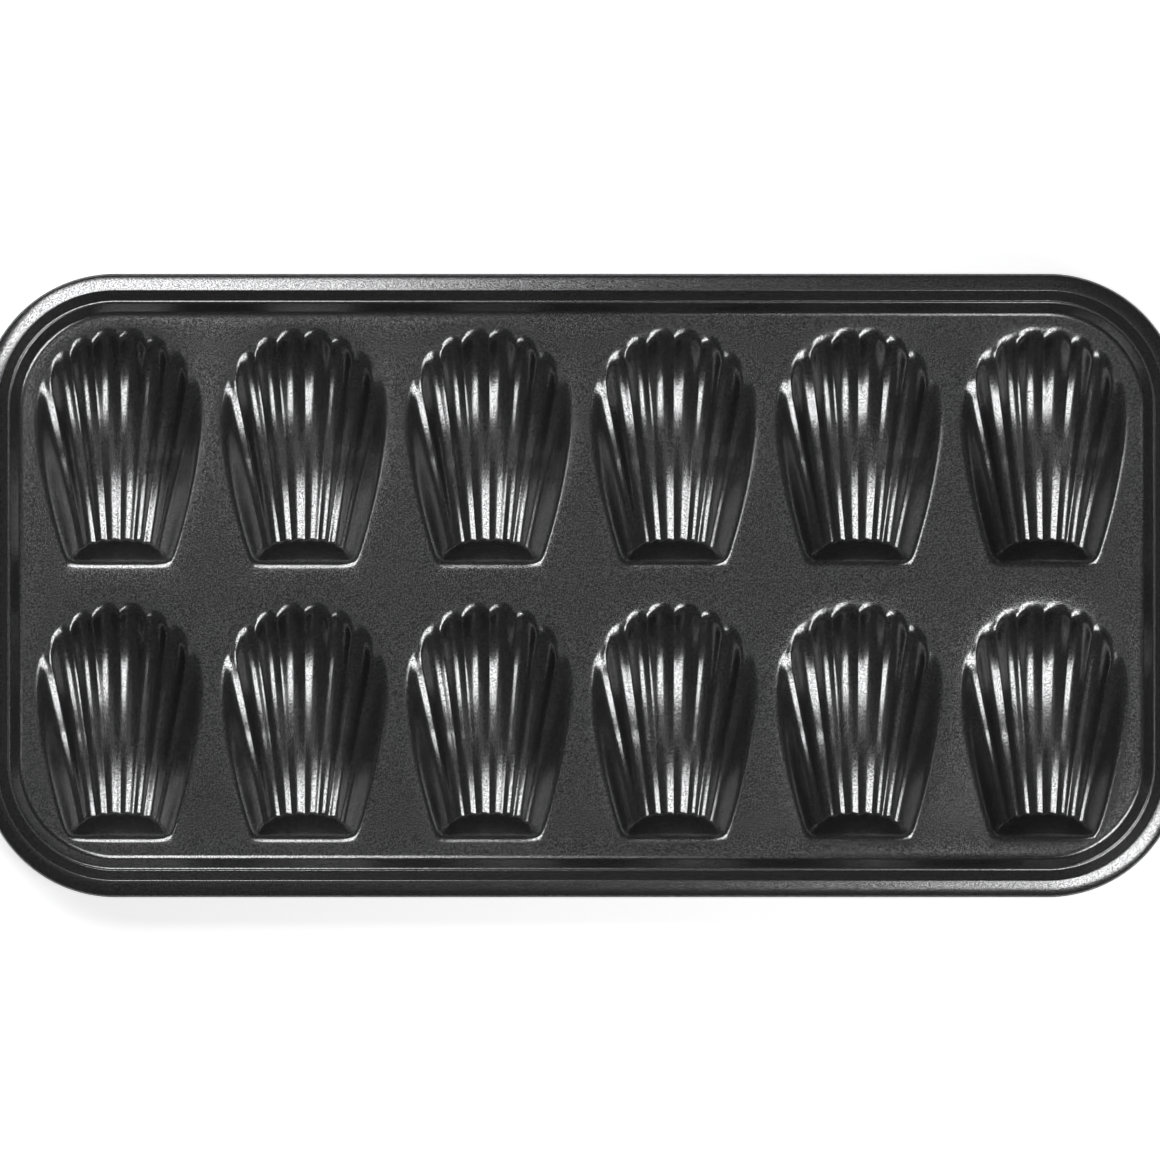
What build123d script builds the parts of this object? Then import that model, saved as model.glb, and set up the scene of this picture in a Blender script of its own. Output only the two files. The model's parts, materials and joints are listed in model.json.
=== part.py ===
"""A madeleine pan with twelve fluted shell cups, pressed from one sheet of coated steel.

The edge of the sheet is rolled under round a stiffening wire. The pan lies flat with its
long side along X. It stands on the undersides of its cups, at z = 0.
"""

import os
from math import cos, radians, sin, sqrt

from build123d import *

# The sheet and the outline of the pan
sheet = 0.6
pan_length = 395.0
pan_width = 205.0
pan_corner = 44.2

# The stepped rim, from the field outwards and upwards
low_wall_run = 3.4
low_wall_rise = 4.0
ledge_run = 1.3
high_wall_run = 2.65
high_wall_rise = 2.8
flange_run = 5.59
flange_tilt_inside = 5.0
flange_tilt_outside = 30.0
flange_steps = 2
field_overlap = 2.0

# The rolled edge and the wire inside it
wire_diameter = 2.0
wire_sides = 8
wire_play = 0.1
wire_butt_gap = 0.5
curl_turn = 210.0
curl_steps = 7

# The cups and where they stand
columns = 6
rows = 2
column_pitch = 60.9
row_pitch = 90.3
cup_length = 77.3
cup_width = 53.3
cup_base_width = 32.8
cup_depth = 15.4
base_slope = 38.0

# The shape of a cup's floor
deepest_share = 0.461
flank_crown_share = 0.358
flank_width_share = 1.04
floor_radius = 73.0
head_power = 3.0
wall_power = 1.3

# The flutes fan out from a point beyond the narrow end of the cup
fan_reach = 52.4
ridge_angles = (0.0, 4.05, 7.5, 11.3)
flank_angle = 12.7
flute_depth = 1.95
trough_shares = (0.3, 0.7)
floor_point_shares = (0.0, 0.28, 0.52, 0.74, 0.9, 1.0)

# How far the forms that shape a cup run past what they shape
overrun = 4.0
brim = 5.0
lip_overrun = 0.6
slope_step = 0.01

base_y = -cup_length / 2
deepest_y = base_y + deepest_share * cup_length
fan_y = base_y - fan_reach
head_reach = cup_length / 2 - deepest_y
flank_crown_y = flank_crown_share * cup_length
flank_crown = flank_width_share * cup_width / 2
flank_bend = (flank_crown - cup_base_width / 2) / (flank_crown_y - base_y) ** 2


def flank(y):
    """Half the width of the shell at the top of its sides."""
    return flank_crown - flank_bend * (flank_crown_y - y) ** 2


def bowl(x, y):
    """Height of the smooth bowl that the flutes are pressed out to."""
    across = abs(x) / flank(y)
    if y >= deepest_y:
        along = (y - deepest_y) / head_reach
        return -cup_depth * (1 - (across**2 + along**head_power) ** wall_power)
    depth = cup_depth - (deepest_y - y) ** 2 / (2 * floor_radius)
    return -depth * (1 - across ** (2 * wall_power))


def steepness(x, y):
    """Length of the bowl's surface over one unit of plan along its slope."""
    across = (bowl(x + slope_step, y) - bowl(x - slope_step, y)) / (2 * slope_step)
    along = (bowl(x, y + slope_step) - bowl(x, y - slope_step)) / (2 * slope_step)
    return sqrt(1 + across**2 + along**2)


def floor_height(x, y, on_ridge, growth):
    """Height of the cup's floor, on a ridge or in a trough, grown outwards by a skin."""
    reach = sqrt(x**2 + (y - fan_y) ** 2)
    flute = flute_depth * reach / (fan_reach + cup_length)
    flute_side = flute / (reach * radians(ridge_angles[1]) * trough_shares[0])
    skin = growth * sqrt(1 + flute_side**2) if on_ridge else growth
    lift = flute - skin if on_ridge else -skin
    return bowl(x, y) + lift * steepness(x, y)


def floor_line(start, end, on_ridge, growth):
    """Points of one line of the floor, as distance along its plane and height."""
    length = sqrt((end[0] - start[0]) ** 2 + (end[1] - start[1]) ** 2)
    points = []
    for share in floor_point_shares:
        x = start[0] + share * (end[0] - start[0])
        y = start[1] + share * (end[1] - start[1])
        points.append((share * length, floor_height(x, y, on_ridge, growth)))
    return points


def ray_end(angle, on_ridge, growth):
    """Where a ray of the fan comes up through the lip of the cup."""
    near, far = fan_reach, fan_reach + cup_length + overrun
    while far - near > slope_step:
        middle = (near + far) / 2
        x, y = middle * sin(angle), fan_y + middle * cos(angle)
        below = floor_height(x, y, on_ridge, growth) < lip_overrun
        if y < deepest_y or below:
            near = middle
        else:
            far = middle
    return near * sin(angle), fan_y + near * cos(angle)


def fan_lines(growth):
    """Each line of one half of the cup's floor: its two ends and whether it is a ridge."""
    rays = []
    for inner, outer in zip(ridge_angles, ridge_angles[1:]):
        rays.append((inner, True))
        rays += [(inner + share * (outer - inner), False) for share in trough_shares]
    rays += [(ridge_angles[-1], True), (flank_angle, False)]
    lines = []
    for degrees, on_ridge in rays:
        angle = radians(degrees)
        reach = (base_y - overrun - fan_y) / cos(angle)
        start = (reach * sin(angle), fan_y + reach * cos(angle))
        lines.append((start, ray_end(angle, on_ridge, growth), on_ridge))
    return lines


def side_line():
    """A straight line just outside the curved lip of the cup's side."""
    touch_y = base_y / 4
    slope = 2 * flank_bend * (flank_crown_y - touch_y)
    touch_x = flank(touch_y) + lip_overrun / 2
    ends = (base_y - overrun, flank_crown_y / 2)
    return [(touch_x + slope * (y - touch_y), y) for y in ends]


def cup_form(growth):
    """The space inside a cup, grown outwards by a skin: a half from ruled lofts, doubled."""
    sections = fan_lines(growth) + [(*side_line(), False)]
    with BuildPart() as form:
        for start, end, on_ridge in sections:
            direction = Vector(end[0] - start[0], end[1] - start[1], 0).normalized()
            plane = Plane(start, x_dir=direction, z_dir=direction.cross(Vector(0, 0, 1)))
            with BuildSketch(plane):
                with BuildLine():
                    line = Polyline(*floor_line(start, end, on_ridge, growth))
                    far, near = line @ 1, line @ 0
                    Polyline(far, (far.X, brim), (near.X, brim), near)
                make_face()
        loft(ruled=True)
        mirror(about=Plane.YZ)
        slope = radians(base_slope)
        wall_y = base_y - growth / cos(slope)
        wall = Plane((0, wall_y, 0), x_dir=(1, 0, 0), z_dir=(0, cos(slope), sin(slope)))
        split(bisect_by=wall, keep=Keep.TOP)
    return form


# Places across the rim, measured outwards from the edge of the field
curl_radius = wire_diameter / 2 + wire_play + sheet
ledge_end = low_wall_run + ledge_run
flange_start = ledge_end + high_wall_run
flange_top = low_wall_rise + high_wall_rise
tilt_inside, tilt_outside = radians(flange_tilt_inside), radians(flange_tilt_outside)
flange_reach = flange_run - curl_radius * (1 - sin(tilt_outside))
flange_radius = flange_reach / (sin(tilt_outside) - sin(tilt_inside))
flange_centre = Vector(flange_start, flange_top) - flange_radius * Vector(
    sin(tilt_inside), cos(tilt_inside)
)
curl_centre = flange_centre + (flange_radius - curl_radius) * Vector(
    sin(tilt_outside), cos(tilt_outside)
)

# Half of the rim's straight runs, and half of the field
rim_width = flange_start + flange_run
straight_x = pan_length / 2 - pan_corner
straight_y = pan_width / 2 - pan_corner
field_x = pan_length / 2 - rim_width
field_y = pan_width / 2 - rim_width


def below(before, corner, after):
    """The point under a bend of the sheet, where the undersides of its two flats meet."""
    into, onwards = (corner - before).normalized(), (after - corner).normalized()
    sides = Vector(into.Y, -into.X), Vector(onwards.Y, -onwards.X)
    return corner + (sides[0] + sides[1]) * (sheet / (1 + sides[0].dot(sides[1])))


def arc_points(centre, radius, start, turn, steps):
    """Points at even steps round an arc, after its first one."""
    angles = [radians(start + turn * step / steps) for step in range(1, steps + 1)]
    return [centre + Vector(cos(angle), sin(angle)) * radius for angle in angles]


def rim_section(plane):
    """The section of the rim, from the field out to the rolled edge."""
    bends = [
        Vector(-field_overlap, 0),
        Vector(0, 0),
        Vector(low_wall_run, low_wall_rise),
        Vector(ledge_end, low_wall_rise),
        Vector(flange_start, flange_top),
    ]
    onto_flange = bends[-1] + Vector(cos(tilt_inside), -sin(tilt_inside))
    corners = zip(bends, bends[1:], [*bends[2:], onto_flange])
    top = list(bends)
    under = [Vector(-field_overlap, -sheet)] + [below(*three) for three in corners]
    flange_turn = flange_tilt_outside - flange_tilt_inside
    for line, inset in ((top, 0), (under, sheet)):
        flange = (flange_radius - inset, 90 - flange_tilt_inside, -flange_turn)
        curl = (curl_radius - inset, 90 - flange_tilt_outside, -curl_turn)
        line += arc_points(flange_centre, *flange, flange_steps)
        line += arc_points(curl_centre, *curl, curl_steps)
    with BuildSketch(plane) as section:
        with BuildLine():
            Polyline(*top, *reversed(under), close=True)
        make_face()
    return section.sketch


def wire_section(plane):
    """The section of the wire, in the middle of the rolled edge."""
    with BuildSketch(plane) as section:
        with Locations(curl_centre):
            RegularPolygon(wire_diameter / 2, wire_sides)
    return section.sketch


def round_the_pan(section):
    """A section carried round the pan: a quarter turn with its straight ends, mirrored."""
    along_x = Plane((0, field_y, 0), x_dir=(0, 1, 0), z_dir=(1, 0, 0))
    at_corner = Plane((straight_x, field_y, 0), x_dir=(0, 1, 0), z_dir=(1, 0, 0))
    along_y = Plane((field_x, straight_y, 0), x_dir=(1, 0, 0), z_dir=(0, -1, 0))
    with BuildPart() as ring:
        extrude(section(along_x), amount=straight_x)
        corner_axis = Axis((straight_x, straight_y, 0), (0, 0, -1))
        revolve(section(at_corner), axis=corner_axis, revolution_arc=90)
        extrude(section(along_y), amount=straight_y)
        mirror(about=Plane.XZ)
        mirror(about=Plane.YZ)
    return ring


cup_hollow = cup_form(0)
cup_skin = cup_form(sheet)

# The skin of a cup stops inside the thickness of the field that it joins
with BuildPart() as cup_bulge:
    add(cup_skin.part)
    split(bisect_by=Plane.XY.offset(-sheet / 2), keep=Keep.BOTTOM)

rim = round_the_pan(rim_section)
plate_x, plate_y = field_x - field_overlap, field_y - field_overlap

with BuildPart() as pan_sheet:
    with BuildSketch(Plane.XY.offset(-sheet)):
        RectangleRounded(2 * plate_x, 2 * plate_y, pan_corner - rim_width - field_overlap)
    extrude(amount=sheet)
    add(rim.part)
    with GridLocations(column_pitch, row_pitch, columns, rows):
        add(cup_bulge.part)
    with GridLocations(column_pitch, row_pitch, columns, rows):
        add(cup_hollow.part, mode=Mode.SUBTRACT)

# The wire is a ring that is open where its two ends meet, half way along the back
with BuildPart() as rim_wire:
    add(round_the_pan(wire_section).part)
    with Locations((0, field_y + curl_centre.X, curl_centre.Y)):
        Box(wire_butt_gap, 2 * curl_radius, 2 * curl_radius, mode=Mode.SUBTRACT)

# Everything is drawn from the top of the field, and then stood on its lowest cups
stand = -pan_sheet.part.bounding_box().min.Z
pan_sheet.part.label = "pan_sheet"
rim_wire.part.label = "rim_wire"
os.makedirs("parts", exist_ok=True)
for piece in (pan_sheet.part, rim_wire.part):
    export_step(piece.moved(Location((0, 0, stand))), f"parts/{piece.label}.step")
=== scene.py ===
"""A madeleine pan of coated steel, seen from straight above.

The pan is one pressed sheet: a flat field with twelve fluted shell cups, a stepped wall, a
sloping flange and an edge rolled round a wire. Lengths are in millimetres, and heights are
measured from the top of the field, until they go into a mesh.
"""

import json
from math import atan, cos, pi, radians, sin, tan

import bmesh
import bpy
import numpy as np
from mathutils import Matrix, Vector, geometry


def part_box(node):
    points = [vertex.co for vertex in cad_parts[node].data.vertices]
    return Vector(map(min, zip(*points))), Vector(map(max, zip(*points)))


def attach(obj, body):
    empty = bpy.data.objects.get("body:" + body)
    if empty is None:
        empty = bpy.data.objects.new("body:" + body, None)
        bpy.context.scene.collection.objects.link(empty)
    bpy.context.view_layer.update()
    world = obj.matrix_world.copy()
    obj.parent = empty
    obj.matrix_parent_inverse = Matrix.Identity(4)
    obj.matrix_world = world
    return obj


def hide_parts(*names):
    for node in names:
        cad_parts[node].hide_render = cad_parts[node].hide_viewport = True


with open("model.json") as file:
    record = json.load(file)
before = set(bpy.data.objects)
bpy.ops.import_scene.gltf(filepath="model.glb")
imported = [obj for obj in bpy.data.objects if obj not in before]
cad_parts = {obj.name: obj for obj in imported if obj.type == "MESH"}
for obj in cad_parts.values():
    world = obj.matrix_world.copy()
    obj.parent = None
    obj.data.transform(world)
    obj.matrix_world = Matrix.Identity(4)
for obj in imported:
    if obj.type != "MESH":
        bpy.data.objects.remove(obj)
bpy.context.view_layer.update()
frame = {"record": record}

MM = 0.001

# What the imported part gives: the outline, the field's height and the sheet's thickness
pan_low, pan_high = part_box("pan_sheet")
wire_low, wire_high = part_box("rim_wire")
pan_length = (pan_high.x - pan_low.x) / MM
pan_width = (pan_high.y - pan_low.y) / MM
places = {mount["name"]: mount["pos_m"][2] / MM for mount in frame["record"]["mounts"]}
field_height = places["field_top"]
sheet = places["field_top"] - places["field_underside"]
rim_height = pan_high.z / MM - field_height

# The rim, from the field outwards
pan_corner = 44.2
low_wall_run = 3.4
low_wall_rise = 4.0
ledge_run = 0.7
ledge_fall = 0.12
high_wall_run = 3.25
flange_run = 5.59
flange_tilt_inside = 5.0
flange_tilt_outside = 30.0
wire_diameter = (wire_high.z - wire_low.z) / MM
wire_play = 0.1
wire_butt_gap = 0.5
curl_turn = 210.0
rim_start = 1.55
foot_radius = 2.4
ledge_inside_radius = 0.8
ledge_outside_radius = 0.25
shoulder_radius = 0.35

# The cups and where they stand
columns = 6
rows = 2
column_pitch = 60.9
row_pitch = 90.3
cup_length = 77.3
cup_width = 53.3
cup_base_width = 32.8
base_slope = 38.0
base_inset = 0.7

# The shape of a cup
deepest_share = 0.461
flank_crown_share = 0.358
flank_width_share = 1.04
floor_radius = 84.0
head_power = 3.0
wall_power = 1.15
base_wall_power = 1.8
head_rise = 0.2
fan_reach = 52.4
ridge_angles = (0.0, 4.05, 7.5, 11.3)
flute_depth = 1.95
floor_flute_share = 0.5
ridge_share = 0.28
lip_ridge_share = 0.12
last_ridge_share = 0.1
lip_blend = 1.8
foot_blend = 0.5
corner_blend = 6.0
corner_depth = 5.0
field_dip = 0.35
dip_reach = 3.0

# How the field rises and evens out towards its edge
level_edge = 6.0
edge_rise = 0.3
edge_reach = 9.0

# The coating: its grain and ripple, in spots to the metre, and what lies under them
grain_spots = 2600
grain_detail = 1
grain_dark_at, grain_light_at = 0.36, 0.64
grain_dark = (0.085, 0.085, 0.086, 1)
grain_light = (0.25, 0.25, 0.252, 1)
grain_strength = 0.12
grain_relief = 0.03
ripple_spots = 160
ripple_detail = 2
ripple_strength = 0.3
ripple_relief = 0.05
coat_metal = 0.95
coat_tint = (0.15, 0.15, 0.15, 1)
coat_roughness = (0.16, 0.26)

# The wire's steel
mark_spots = 1800
mark_detail = 3
steel_dark = (0.42, 0.42, 0.43, 1)
steel_light = (0.62, 0.62, 0.63, 1)
steel_roughness = (0.25, 0.45)

# The floor, in metres, and how brightly it shows to the camera over what the lamps give it
floor_half = 3.0
floor_colour = (0.85, 0.85, 0.85, 1)
floor_roughness = 0.9
floor_shine = 0.1
floor_glow = 0.5

# How finely the surface is divided, and how the grids are laid
head_centre_drop = 0.1
side_top_share = 0.456
merge_distance = 0.001
plan_tolerance = 1e-6
cup_margin = 3.0
edge_margin = 0.3
edge_zone = 4.5
slope_step = 0.01
flute_steps = 10
side_steps = 12
base_rows = 34
middle_rows = 40
head_rows = 36
base_rows_share = 0.17
head_rows_share = 0.18
field_step = 1.6
corner_steps = 36
straight_steps = 61
bend_steps = 5
flange_start_share = 0.1
flange_steps = 8
curl_steps = 20
wire_sides = 16

base_y = -cup_length / 2
deepest_y = base_y + deepest_share * cup_length
fan_y = base_y - fan_reach
head_reach = cup_length / 2 - deepest_y
flank_crown_y = flank_crown_share * cup_length
flank_crown = flank_width_share * cup_width / 2
flank_bend = (flank_crown - cup_base_width / 2) / (flank_crown_y - base_y) ** 2
bowl_depth = field_height - sheet - field_dip - edge_rise
head_centre_y = cup_length / 2 - cup_width / 2 - head_centre_drop
least_flank = cup_base_width / 4
outer_flute = (ridge_angles[-1] - ridge_angles[-2]) / 2
last_middle = (ridge_angles[-2] + ridge_angles[-1]) / 2

rim_width = low_wall_run + ledge_run + high_wall_run + flange_run
field_x = pan_length / 2 - rim_width
field_y = pan_width / 2 - rim_width
field_corner = pan_corner - rim_width


def soft_max(a, b, blend):
    """The higher of two surfaces, rounded where they are within this height of each other."""
    near = np.maximum(blend - np.abs(a - b), 0) / blend
    return np.maximum(a, b) + near**2 * blend / 4


def flank(y):
    """Half the width of the shell at the top of its sides."""
    return flank_crown - flank_bend * (flank_crown_y - y) ** 2


def lip_share(x, y):
    """How far out in the shell a point is, from 0 at the middle of the floor to 1 at the lip."""
    across = np.abs(x) / np.maximum(flank(y), least_flank)
    along = np.maximum(y - deepest_y, 0) / head_reach
    return np.minimum(across**2 + along**head_power, 1)


def to_base(y):
    """How far along a point is, from 0 at the deepest place to 1 at the narrow end."""
    return np.clip((deepest_y - y) / (deepest_y - base_y), 0, 1)


def bowl(x, y):
    """Height of the smooth bowl that the flutes are pressed out to."""
    across = np.abs(x) / np.maximum(flank(y), least_flank)
    along = np.maximum(y - deepest_y, 0) / head_reach
    risen = head_rise * np.minimum(along, 1) ** 2
    head = -bowl_depth * (1 - (across**2 + along**head_power) ** wall_power) * (1 - risen)
    power = 2 * (wall_power + (base_wall_power - wall_power) * to_base(y))
    shallower = np.minimum((deepest_y - y) ** 2 / (2 * floor_radius), bowl_depth)
    return np.where(y >= deepest_y, head, (shallower - bowl_depth) * (1 - across**power))


def steepness(x, y):
    """Length of the bowl's surface over one unit of plan along its slope."""
    across = (bowl(x + slope_step, y) - bowl(x - slope_step, y)) / (2 * slope_step)
    along = (bowl(x, y + slope_step) - bowl(x, y - slope_step)) / (2 * slope_step)
    return np.sqrt(1 + across**2 + along**2)


def flutes(x, y):
    """Height of the flutes above the bowl: round channels that meet in narrow ridges."""
    reach = np.hypot(x, y - fan_y)
    angle = np.abs(np.degrees(np.arctan2(x, y - fan_y)))
    to_lip = lip_share(x, y)
    ridge = ridge_share + (lip_ridge_share - ridge_share) * to_lip**2
    rise = np.zeros_like(reach)
    ends = (*ridge_angles, ridge_angles[-1] + 2 * outer_flute)
    for inner, outer in zip(ends, ends[1:]):
        middle = (inner + outer) / 2
        to_ridge = 1 - np.abs(angle - middle) / ((outer - inner) / 2)
        share = np.clip(1 - np.hypot(to_ridge, ridge), 0, 1) ** 2 / (1 - ridge) ** 2
        inside = (angle >= inner) & (angle < outer)
        if outer > ridge_angles[-1]:
            share = np.where(angle > middle, 0, share)
        if outer >= ridge_angles[-1]:
            lower = 1 - (1 - last_ridge_share) * to_base(y) * (1 - to_lip)
            share = np.where(angle > last_middle, share * lower, share)
        rise = np.where(inside, share, rise)
    depth = flute_depth * (floor_flute_share + (1 - floor_flute_share) * to_lip)
    return rise * depth * reach / (fan_reach + cup_length) * steepness(x, y)


def end_wall(y):
    """Height of the sloping wall at the cup's narrow end."""
    return (base_y + base_inset - y) / tan(radians(base_slope))


def dip(x, y):
    """How far the field is drawn down round one cup."""
    lip = np.maximum(np.maximum(bowl(x, y), end_wall(y)), 0)
    return -field_dip * np.exp(-lip / dip_reach)


def cup_height(x, y):
    """Height of the sheet in and just around one cup, from the undisturbed field."""
    floor, wall = bowl(x, y) + flutes(x, y), end_wall(y)
    depth = np.clip(-np.maximum(floor, wall) / corner_depth, 0, 1)
    blend = foot_blend + (corner_blend - foot_blend) * (1 - depth) ** 2
    inside = soft_max(floor, wall, blend)
    return -soft_max(-inside, np.zeros_like(inside), lip_blend)


def cup_centres():
    """The middle of each cup, in plan."""
    xs = (np.arange(columns) - (columns - 1) / 2) * column_pitch
    ys = (np.arange(rows) - (rows - 1) / 2) * row_pitch
    return [(x, y) for y in ys for x in xs]


def field_height_at(x, y):
    """Height of the field, drawn down a little round every cup, and highest at its edge."""
    total = np.zeros_like(x)
    for centre_x, centre_y in cup_centres():
        total = total + dip(x - centre_x, y - centre_y)
    inward = -edge_distance(x, y) - rim_start
    share = np.clip(inward / level_edge, 0, 1)
    depth = np.maximum(inward, 0) / edge_reach
    sunk = edge_rise * (1 - np.exp(-(depth**2)))
    return total * share**2 * (3 - 2 * share) - sunk


def edge_distance(x, y):
    """Distance outside the edge of the field, whose corners are round."""
    over_x = np.abs(x) - (field_x - field_corner)
    over_y = np.abs(y) - (field_y - field_corner)
    outside = np.hypot(np.maximum(over_x, 0), np.maximum(over_y, 0))
    return outside + np.minimum(np.maximum(over_x, over_y), 0) - field_corner


def surface_height(x, y):
    """Height of the sheet anywhere inside the rim: the field with the cups in it."""
    total = field_height_at(x, y)
    for centre_x, centre_y in cup_centres():
        total = total + cup_height(x - centre_x, y - centre_y)
    return total


def kept_inside(x, y):
    """Points in plan, with those near the field's edge or past it drawn in to stop short of it."""
    over_x = np.maximum(np.abs(x) - (field_x - field_corner), 0)
    over_y = np.maximum(np.abs(y) - (field_y - field_corner), 0)
    reach = np.maximum(np.hypot(over_x, over_y), 1)
    room = edge_zone - rim_start - edge_margin
    past = np.maximum(edge_distance(x, y) + edge_zone, 0)
    inward = past - room * (1 - np.exp(-past / room))
    return x - np.sign(x) * inward * over_x / reach, y - np.sign(y) * inward * over_y / reach


def eased(count):
    """Shares from 0 to 1, closer together at both ends."""
    return (1 - np.cos(np.linspace(0, pi, count + 1))) / 2


def row_shares():
    """Shares along a cup's length, closer together at the end wall and at the head."""
    base = np.linspace(0, base_rows_share, base_rows, endpoint=False)
    middle = np.linspace(base_rows_share, 1 - head_rows_share, middle_rows, endpoint=False)
    head = np.linspace(1 - head_rows_share, 1, head_rows + 1)
    return np.concatenate([base, middle, head])


def cup_plan():
    """Grid of one cup in plan: columns follow the rays of the fan, then ease to the sides."""
    along = row_shares()[:, None]
    last = ridge_angles[-1] + outer_flute
    angles = [np.array([0.0])]
    for inner, outer in zip(ridge_angles, ridge_angles[1:]):
        angles.append(inner + (outer - inner) * eased(flute_steps)[1:])
    half_flute = eased(flute_steps)[1 : flute_steps // 2 + 1] * 2
    angles.append(ridge_angles[-1] + outer_flute * half_flute)
    angles = np.radians(np.concatenate(angles))[None, :]
    start_y = base_y - cup_margin
    near = (start_y - fan_y) / np.cos(angles)
    to_centre = head_centre_y - fan_y
    head_radius = cup_length / 2 - head_centre_y + cup_margin
    far = to_centre * np.cos(angles)
    far = far + np.sqrt(far**2 - to_centre**2 + head_radius**2)
    reach = near + (far - near) * along
    ray_x, ray_y = reach * np.sin(angles), fan_y + reach * np.cos(angles)
    side_top = deepest_y + head_reach * side_top_share
    side_y = start_y + (side_top - start_y) * along
    in_head = np.maximum(side_y - deepest_y, 0) / head_reach
    side_x = flank(side_y) * np.sqrt(1 - in_head**head_power) + cup_margin
    share = np.sin(np.linspace(0, pi / 2, side_steps + 1))[None, 1:]
    block_x = ray_x[:, -1:] + (side_x - ray_x[:, -1:]) * share
    block_y = ray_y[:, -1:] + (side_y - ray_y[:, -1:]) * share
    x = np.concatenate([ray_x, block_x], axis=1)
    y = np.concatenate([ray_y, block_y], axis=1)
    return np.concatenate([-x[:, :0:-1], x], axis=1), np.concatenate([y[:, :0:-1], y], axis=1)


def grid_faces(count_down, count_across, closed=False):
    """Four-sided faces of a grid of points, seen from the side where its columns run right."""
    faces = []
    for row in range(count_down - 1):
        for column in range(count_across if closed else count_across - 1):
            onward = (column + 1) % count_across
            here, above = row * count_across, (row + 1) * count_across
            faces.append((here + column, here + onward, above + onward, above + column))
    return faces


def border(x, y):
    """The outline of a grid of points, going round against the clock."""
    sides = [
        (x[0, :-1], y[0, :-1]),
        (x[:-1, -1], y[:-1, -1]),
        (x[-1, :0:-1], y[-1, :0:-1]),
        (x[:0:-1, 0], y[:0:-1, 0]),
    ]
    return np.concatenate([np.stack(side, axis=1) for side in sides])


def loop_directions():
    """Where each point of a loop round the pan turns about, and its direction outwards."""
    turns = np.linspace(0, pi / 2, corner_steps + 1)
    corners = np.array([(1, 1), (-1, 1), (-1, -1), (1, -1)])
    corners = corners * (field_x - field_corner, field_y - field_corner)
    centres, directions = [], []
    for quarter, (corner, onward) in enumerate(zip(corners, np.roll(corners, -1, axis=0))):
        for turn in turns + quarter * pi / 2:
            centres.append(corner)
            directions.append((cos(turn), sin(turn)))
        for share in np.linspace(0, 1, straight_steps + 1)[1:-1]:
            centres.append(corner + (onward - corner) * share)
            directions.append(directions[-1])
    return np.array(centres), np.array(directions)


def loop_round(outward):
    """A loop round the pan, this far outside the edge of the field."""
    centres, directions = loop_directions()
    return centres + directions * (field_corner + outward)


def rounded(corners, radii):
    """A line with its corners rounded, from its first point to its last."""
    points = [np.array(corners[0], float)]
    for before, corner, after, radius in zip(corners, corners[1:], corners[2:], radii):
        corner = np.array(corner, float)
        into, onward = corner - before, after - corner
        into, onward = into / np.linalg.norm(into), onward / np.linalg.norm(onward)
        turn = np.arctan2(into[0] * onward[1] - into[1] * onward[0], into @ onward)
        back = radius * tan(abs(turn) / 2)
        side = np.sign(turn) * np.array([-into[1], into[0]])
        centre = corner - back * into + radius * side
        for step in range(bend_steps + 1):
            angle = turn * step / bend_steps
            spoke = cos(angle) * -side + sin(abs(angle)) * into
            points.append(centre + radius * spoke)
    points.append(np.array(corners[-1], float))
    return points


def rim_profile():
    """The rim in section, as distance outside the field and height, and the wire's centre."""
    inside, outside = radians(flange_tilt_inside), radians(flange_tilt_outside)
    curl_radius = wire_diameter / 2 + wire_play + sheet
    ledge_end = low_wall_run + ledge_run
    start = np.array([ledge_end + high_wall_run, rim_height])
    flange_reach = flange_run - curl_radius * (1 - sin(outside))
    flange_radius = flange_reach / (sin(outside) - sin(inside))
    flange_centre = start - flange_radius * np.array([sin(inside), cos(inside)])
    outward = np.array([sin(outside), cos(outside)])
    curl_centre = flange_centre + (flange_radius - curl_radius) * outward
    tangent = start + np.array([cos(inside), -sin(inside)])
    corners = [
        (-rim_start, 0),
        (0, 0),
        (low_wall_run, low_wall_rise + ledge_fall / 2),
        (ledge_end, low_wall_rise - ledge_fall / 2),
        tuple(start),
        tuple(tangent),
    ]
    radii = (foot_radius, ledge_inside_radius, ledge_outside_radius, shoulder_radius)
    points = rounded(corners, radii)[:-1]
    for share in np.linspace(flange_start_share, 1, flange_steps):
        tilt = inside + (outside - inside) * share
        points.append(flange_centre + flange_radius * np.array([sin(tilt), cos(tilt)]))
    for share in np.linspace(0, 1, curl_steps + 1)[1:]:
        tilt = outside + radians(curl_turn) * share
        points.append(curl_centre + curl_radius * np.array([sin(tilt), cos(tilt)]))
    return np.array(points), curl_centre


def level_loop(out, up):
    """A level loop round the pan, this far outside the edge of the field and this high."""
    plan = loop_round(out)
    return np.column_stack([plan, np.full(len(plan), up)])


def rim_patch(profile):
    """The rim as a band of faces carried round the pan, from the height that the field ends at."""
    loops = [level_loop(out, up) for out, up in profile]
    loops[0][:, 2] = surface_height(loops[0][:, 0], loops[0][:, 1])
    faces = grid_faces(len(loops), len(loops[0]), closed=True)
    return np.concatenate(loops), [face[::-1] for face in faces]


def cup_patches():
    """The twelve cups, each a grid of faces with a little of the field round it."""
    plan_x, plan_y = cup_plan()
    patches, outlines = [], []
    for centre_x, centre_y in cup_centres():
        x, y = kept_inside(plan_x + centre_x, plan_y + centre_y)
        points = np.stack([x, y, surface_height(x, y)], axis=-1).reshape(-1, 3)
        patches.append((points, grid_faces(*x.shape)))
        outlines.append(border(x, y))
    return patches, outlines


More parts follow.
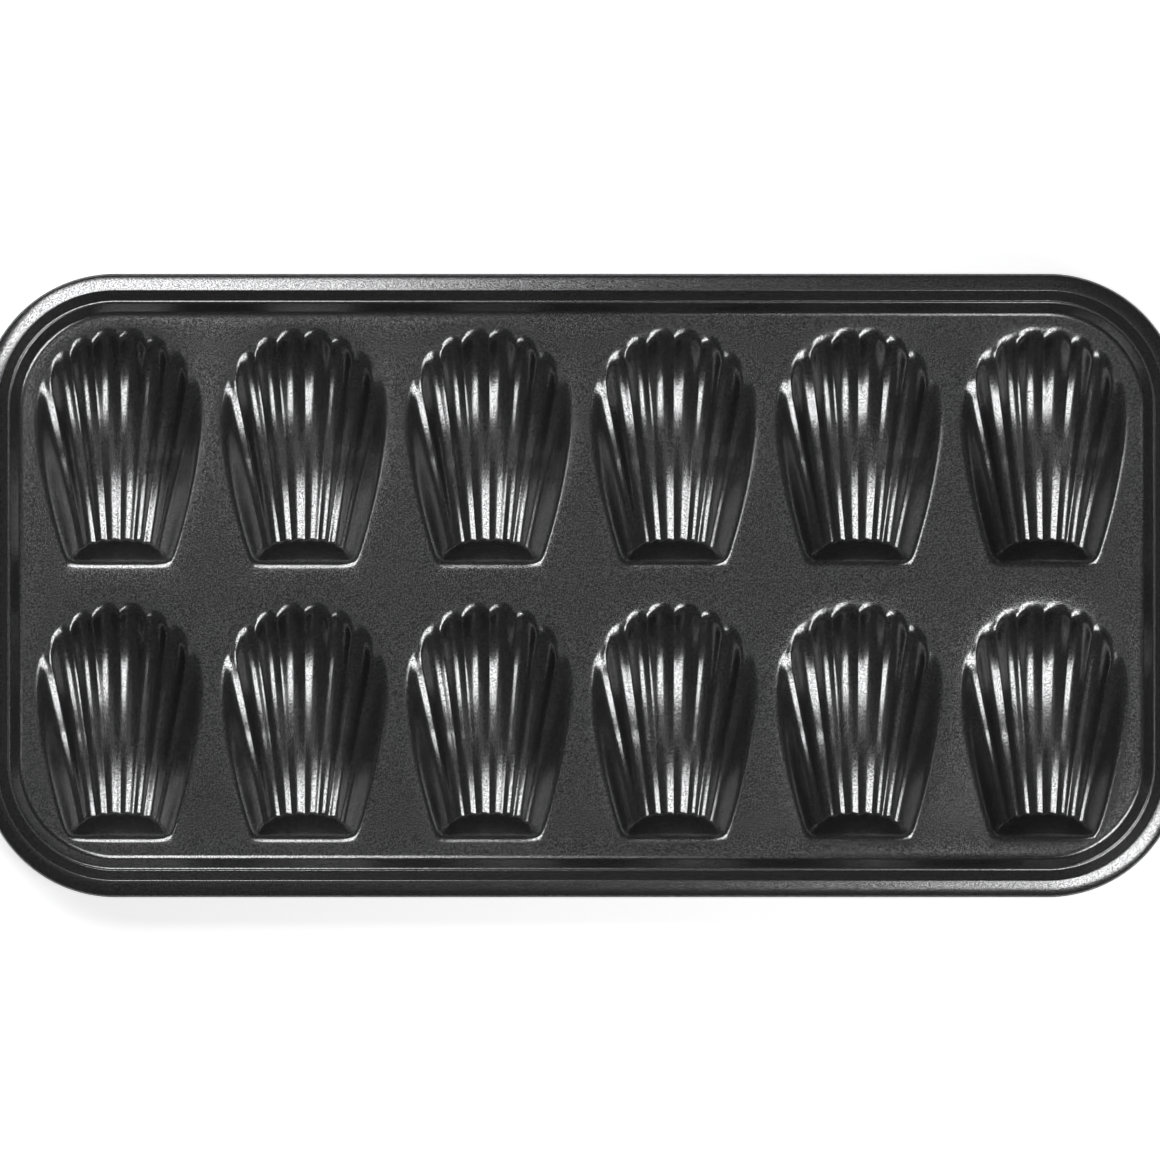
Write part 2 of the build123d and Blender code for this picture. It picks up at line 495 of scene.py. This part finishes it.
def inside_outline(points, outline):
    """Whether each point is inside a closed outline."""
    start, end = outline, np.roll(outline, -1, axis=0)
    x, y = points[:, :1], points[:, 1:]
    crosses = (start[:, 1] > y) != (end[:, 1] > y)
    rise = np.where(end[:, 1] == start[:, 1], 1, end[:, 1] - start[:, 1])
    at = start[:, 0] + (y - start[:, 1]) * (end[:, 0] - start[:, 0]) / rise
    return (crosses & (x < at)).sum(axis=1) % 2 == 1


def field_points(outlines):
    """Points spread over the field in rows, clear of the cups and of the wall's foot."""
    xs = np.arange(-field_x, field_x, field_step)
    ys = np.arange(-field_y, field_y, field_step * cos(pi / 6))
    x, y = np.meshgrid(xs, ys)
    x = x + (np.arange(len(ys)) % 2)[:, None] * field_step / 2
    points = np.column_stack([x.ravel(), y.ravel()])
    points = points[edge_distance(points[:, 0], points[:, 1]) < -rim_start - field_step / 2]
    for outline in outlines:
        low, high = outline.min(axis=0) - field_step, outline.max(axis=0) + field_step
        near = ((points > low) & (points < high)).all(axis=1)
        gaps = np.full(len(points), np.inf)
        apart = points[near][:, None, :] - outline[None, :, :]
        gaps[near] = np.hypot(apart[..., 0], apart[..., 1]).min(axis=1)
        within = np.zeros(len(points), bool)
        within[near] = inside_outline(points[near], outline)
        points = points[~within & (gaps > field_step / 2)]
    return points


def field_patch(outlines, edge_loop):
    """The field between the cups, as triangles that share the points of its edges."""
    loops = [edge_loop, *outlines]
    points = np.concatenate([*loops, field_points(outlines)])
    edges, first = [], 0
    for loop in loops:
        edges += [(first + i, first + (i + 1) % len(loop)) for i in range(len(loop))]
        first += len(loop)
    vectors = [Vector(point) for point in points]
    result = geometry.delaunay_2d_cdt(vectors, edges, [], 1, plan_tolerance, False)
    plan = np.array([tuple(point) for point in result[0]])
    faces = np.array(result[2])
    middles = plan[faces].mean(axis=1)
    keep = np.ones(len(faces), bool)
    for outline in outlines:
        low, high = outline.min(axis=0), outline.max(axis=0)
        near = np.nonzero(((middles > low) & (middles < high)).all(axis=1))[0]
        keep[near[inside_outline(middles[near], outline)]] = False
    heights = surface_height(plan[:, 0], plan[:, 1])
    return np.column_stack([plan, heights]), [tuple(face) for face in faces[keep].tolist()]


def new_piece(name, patches, material):
    """One smooth mesh from patches whose edges meet."""
    points, faces = [], []
    for patch_points, patch_faces in patches:
        first = sum(len(part) for part in points)
        points.append(patch_points)
        faces += [tuple(first + index for index in face) for face in patch_faces]
    places = np.concatenate(points)
    places[:, 2] += field_height
    mesh = bpy.data.meshes.new(name)
    mesh.from_pydata((places * MM).tolist(), [], faces)
    work = bmesh.new()
    work.from_mesh(mesh)
    bmesh.ops.remove_doubles(work, verts=work.verts, dist=merge_distance * MM)
    for face in work.faces:
        face.smooth = True
    work.to_mesh(mesh)
    work.free()
    mesh.materials.append(material)
    piece = bpy.data.objects.new(name, mesh)
    bpy.context.scene.collection.objects.link(piece)
    return piece


def thicken(piece):
    """Gives the surface of the sheet its thickness, on its underside."""
    solidify = piece.modifiers.new("thickness", "SOLIDIFY")
    solidify.thickness = sheet * MM
    solidify.offset = -1
    bpy.context.view_layer.objects.active = piece
    bpy.ops.object.modifier_apply(modifier=solidify.name)


def wire_patch(curl_centre):
    """The round wire, open by a narrow gap at the middle of the back."""
    turns = np.arange(wire_sides) * 2 * pi / wire_sides
    section = [curl_centre + wire_diameter / 2 * np.array([cos(turn), sin(turn)]) for turn in turns]
    ring = np.stack([level_loop(out, up) for out, up in section], axis=1)
    back = corner_steps + 1 + straight_steps // 2
    ends = ring[[back - 1, back]].copy()
    ends[0, :, 0], ends[1, :, 0] = wire_butt_gap / 2, -wire_butt_gap / 2
    ring = np.concatenate([ends[1:], ring[back:], ring[:back], ends[:1]])
    count = len(ring) * wire_sides
    caps = [tuple(range(wire_sides))[::-1], tuple(range(count - wire_sides, count))]
    return ring.reshape(-1, 3), grid_faces(len(ring), wire_sides, closed=True) + caps


def nodes_for(name):
    """A new material, its node tree and its main shader."""
    material = bpy.data.materials.new(name)
    material.use_nodes = True
    return material, material.node_tree, material.node_tree.nodes["Principled BSDF"]


def noise(tree, scale, detail):
    """A noise that is fixed to the object, with this many spots to the metre."""
    place = tree.nodes.new("ShaderNodeTexCoord")
    texture = tree.nodes.new("ShaderNodeTexNoise")
    texture.inputs["Scale"].default_value = scale
    texture.inputs["Detail"].default_value = detail
    tree.links.new(place.outputs["Object"], texture.inputs["Vector"])
    return texture


def speckle(tree, shader, texture, dark, light, roughness):
    """Colour and roughness that follow a noise. Gives the colour ramp back."""
    colour = tree.nodes.new("ShaderNodeValToRGB")
    colour.color_ramp.elements[0].color = dark
    colour.color_ramp.elements[1].color = light
    tree.links.new(texture.outputs["Fac"], colour.inputs["Fac"])
    tree.links.new(colour.outputs["Color"], shader.inputs["Base Color"])
    rough = tree.nodes.new("ShaderNodeMapRange")
    rough.inputs["To Min"].default_value, rough.inputs["To Max"].default_value = roughness
    tree.links.new(texture.outputs["Fac"], rough.inputs["Value"])
    tree.links.new(rough.outputs["Result"], shader.inputs["Roughness"])
    return colour.color_ramp


def bump(tree, texture, strength, relief):
    """Fine relief from a noise, this many millimetres high at full strength."""
    node = tree.nodes.new("ShaderNodeBump")
    node.inputs["Strength"].default_value = strength
    node.inputs["Distance"].default_value = relief * MM
    tree.links.new(texture.outputs["Fac"], node.inputs["Height"])
    return node


def coating():
    """Dark non-stick coating: satin, with a fine grain of metal flakes and a faint ripple."""
    material, tree, shader = nodes_for("dark_coating")
    shader.inputs["Metallic"].default_value = coat_metal
    shader.inputs["Specular Tint"].default_value = coat_tint
    grain = noise(tree, grain_spots, grain_detail)
    ripple = noise(tree, ripple_spots, ripple_detail)
    ramp = speckle(tree, shader, grain, grain_dark, grain_light, coat_roughness)
    ramp.elements[0].position, ramp.elements[1].position = grain_dark_at, grain_light_at
    fine = bump(tree, grain, grain_strength, grain_relief)
    broad = bump(tree, ripple, ripple_strength, ripple_relief)
    tree.links.new(broad.outputs["Normal"], fine.inputs["Normal"])
    tree.links.new(fine.outputs["Normal"], shader.inputs["Normal"])
    return material


def drawn_steel():
    """Drawn steel wire, with fine marks."""
    material, tree, shader = nodes_for("drawn_steel")
    shader.inputs["Metallic"].default_value = 1
    marks = noise(tree, mark_spots, mark_detail)
    speckle(tree, shader, marks, steel_dark, steel_light, steel_roughness)
    return material


def floor():
    """A plain pale floor under the pan, which looks white and still takes the pan's shadow."""
    mesh = bpy.data.meshes.new("floor")
    sides = [(-1, -1), (1, -1), (1, 1), (-1, 1)]
    corners = [(across * floor_half, along * floor_half, 0) for across, along in sides]
    mesh.from_pydata(corners, [], [(0, 1, 2, 3)])
    material, tree, shader = nodes_for("pale_floor")
    shader.inputs["Base Color"].default_value = floor_colour
    shader.inputs["Roughness"].default_value = floor_roughness
    shader.inputs["Specular IOR Level"].default_value = floor_shine
    path = tree.nodes.new("ShaderNodeLightPath")
    seen = path.outputs["Is Camera Ray"]
    for other in ("Is Glossy Ray", "Is Transmission Ray"):
        either = tree.nodes.new("ShaderNodeMath")
        either.operation = "MAXIMUM"
        tree.links.new(seen, either.inputs[0])
        tree.links.new(path.outputs[other], either.inputs[1])
        seen = either.outputs["Value"]
    white = tree.nodes.new("ShaderNodeMath")
    white.operation = "MULTIPLY"
    white.inputs[1].default_value = floor_glow
    tree.links.new(seen, white.inputs[0])
    shader.inputs["Emission Color"].default_value = (1, 1, 1, 1)
    tree.links.new(white.outputs["Value"], shader.inputs["Emission Strength"])
    mesh.materials.append(material)
    piece = bpy.data.objects.new("floor", mesh)
    bpy.context.scene.collection.objects.link(piece)


def softbox(name, low, high, height, brightness):
    """A level rectangular studio lamp over the pan, from one corner in plan to the other."""
    lamp = bpy.data.lights.new(name, "AREA")
    lamp.shape = "RECTANGLE"
    lamp.size, lamp.size_y = high[0] - low[0], high[1] - low[1]
    lamp.energy = brightness * pi * lamp.size * lamp.size_y
    piece = bpy.data.objects.new(name, lamp)
    piece.location = ((low[0] + high[0]) / 2, (low[1] + high[1]) / 2, height)
    piece.visible_camera = False
    bpy.context.scene.collection.objects.link(piece)


def surroundings(brightness):
    """A dim even light from all round."""
    world = bpy.data.worlds.new("studio")
    world.use_nodes = True
    world.node_tree.nodes["Background"].inputs["Color"].default_value = (1, 1, 1, 1)
    world.node_tree.nodes["Background"].inputs["Strength"].default_value = brightness
    bpy.context.scene.world = world


def camera():
    """A long lens straight above the pan, which fills the photograph's width."""
    photo_width = 1160
    pan_pixels = 1202.4
    off_centre = (1.5, 5.5)
    distance = 4.0
    farthest = 20
    pixel = pan_length * MM / pan_pixels
    data = bpy.data.cameras.new("camera")
    data.angle = 2 * atan(photo_width * pixel / 2 / distance)
    data.clip_end = farthest
    piece = bpy.data.objects.new("camera", data)
    piece.location = (-off_centre[0] * pixel, off_centre[1] * pixel, pan_high.z + distance)
    bpy.context.scene.collection.objects.link(piece)
    bpy.context.scene.camera = piece


coat = coating()
profile, curl_centre = rim_profile()
cups, outlines = cup_patches()
field = field_patch(outlines, loop_round(profile[0][0]))
pan = new_piece("pressed_sheet", [*cups, field, rim_patch(profile)], coat)
thicken(pan)
wire = new_piece("stiffening_wire", [wire_patch(curl_centre)], drawn_steel())
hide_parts("pan_sheet")
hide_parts("rim_wire")
for piece in (pan, wire):
    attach(piece, "root")

floor()
# The lamps' corners in plan and their heights, in metres, and how bright each one is
softbox("softbox_back_left", (-0.7, 0.18), (-0.07, 0.95), 0.7, 5.8)
softbox("softbox_front_right", (0.17, -0.75), (0.9, -0.18), 0.8, 5.8)
softbox("softbox_above", (-0.8, -0.8), (0.8, 0.8), 2.2, 0.15)
surroundings(0.06)
camera()
bpy.context.scene.view_settings.view_transform = "Standard"
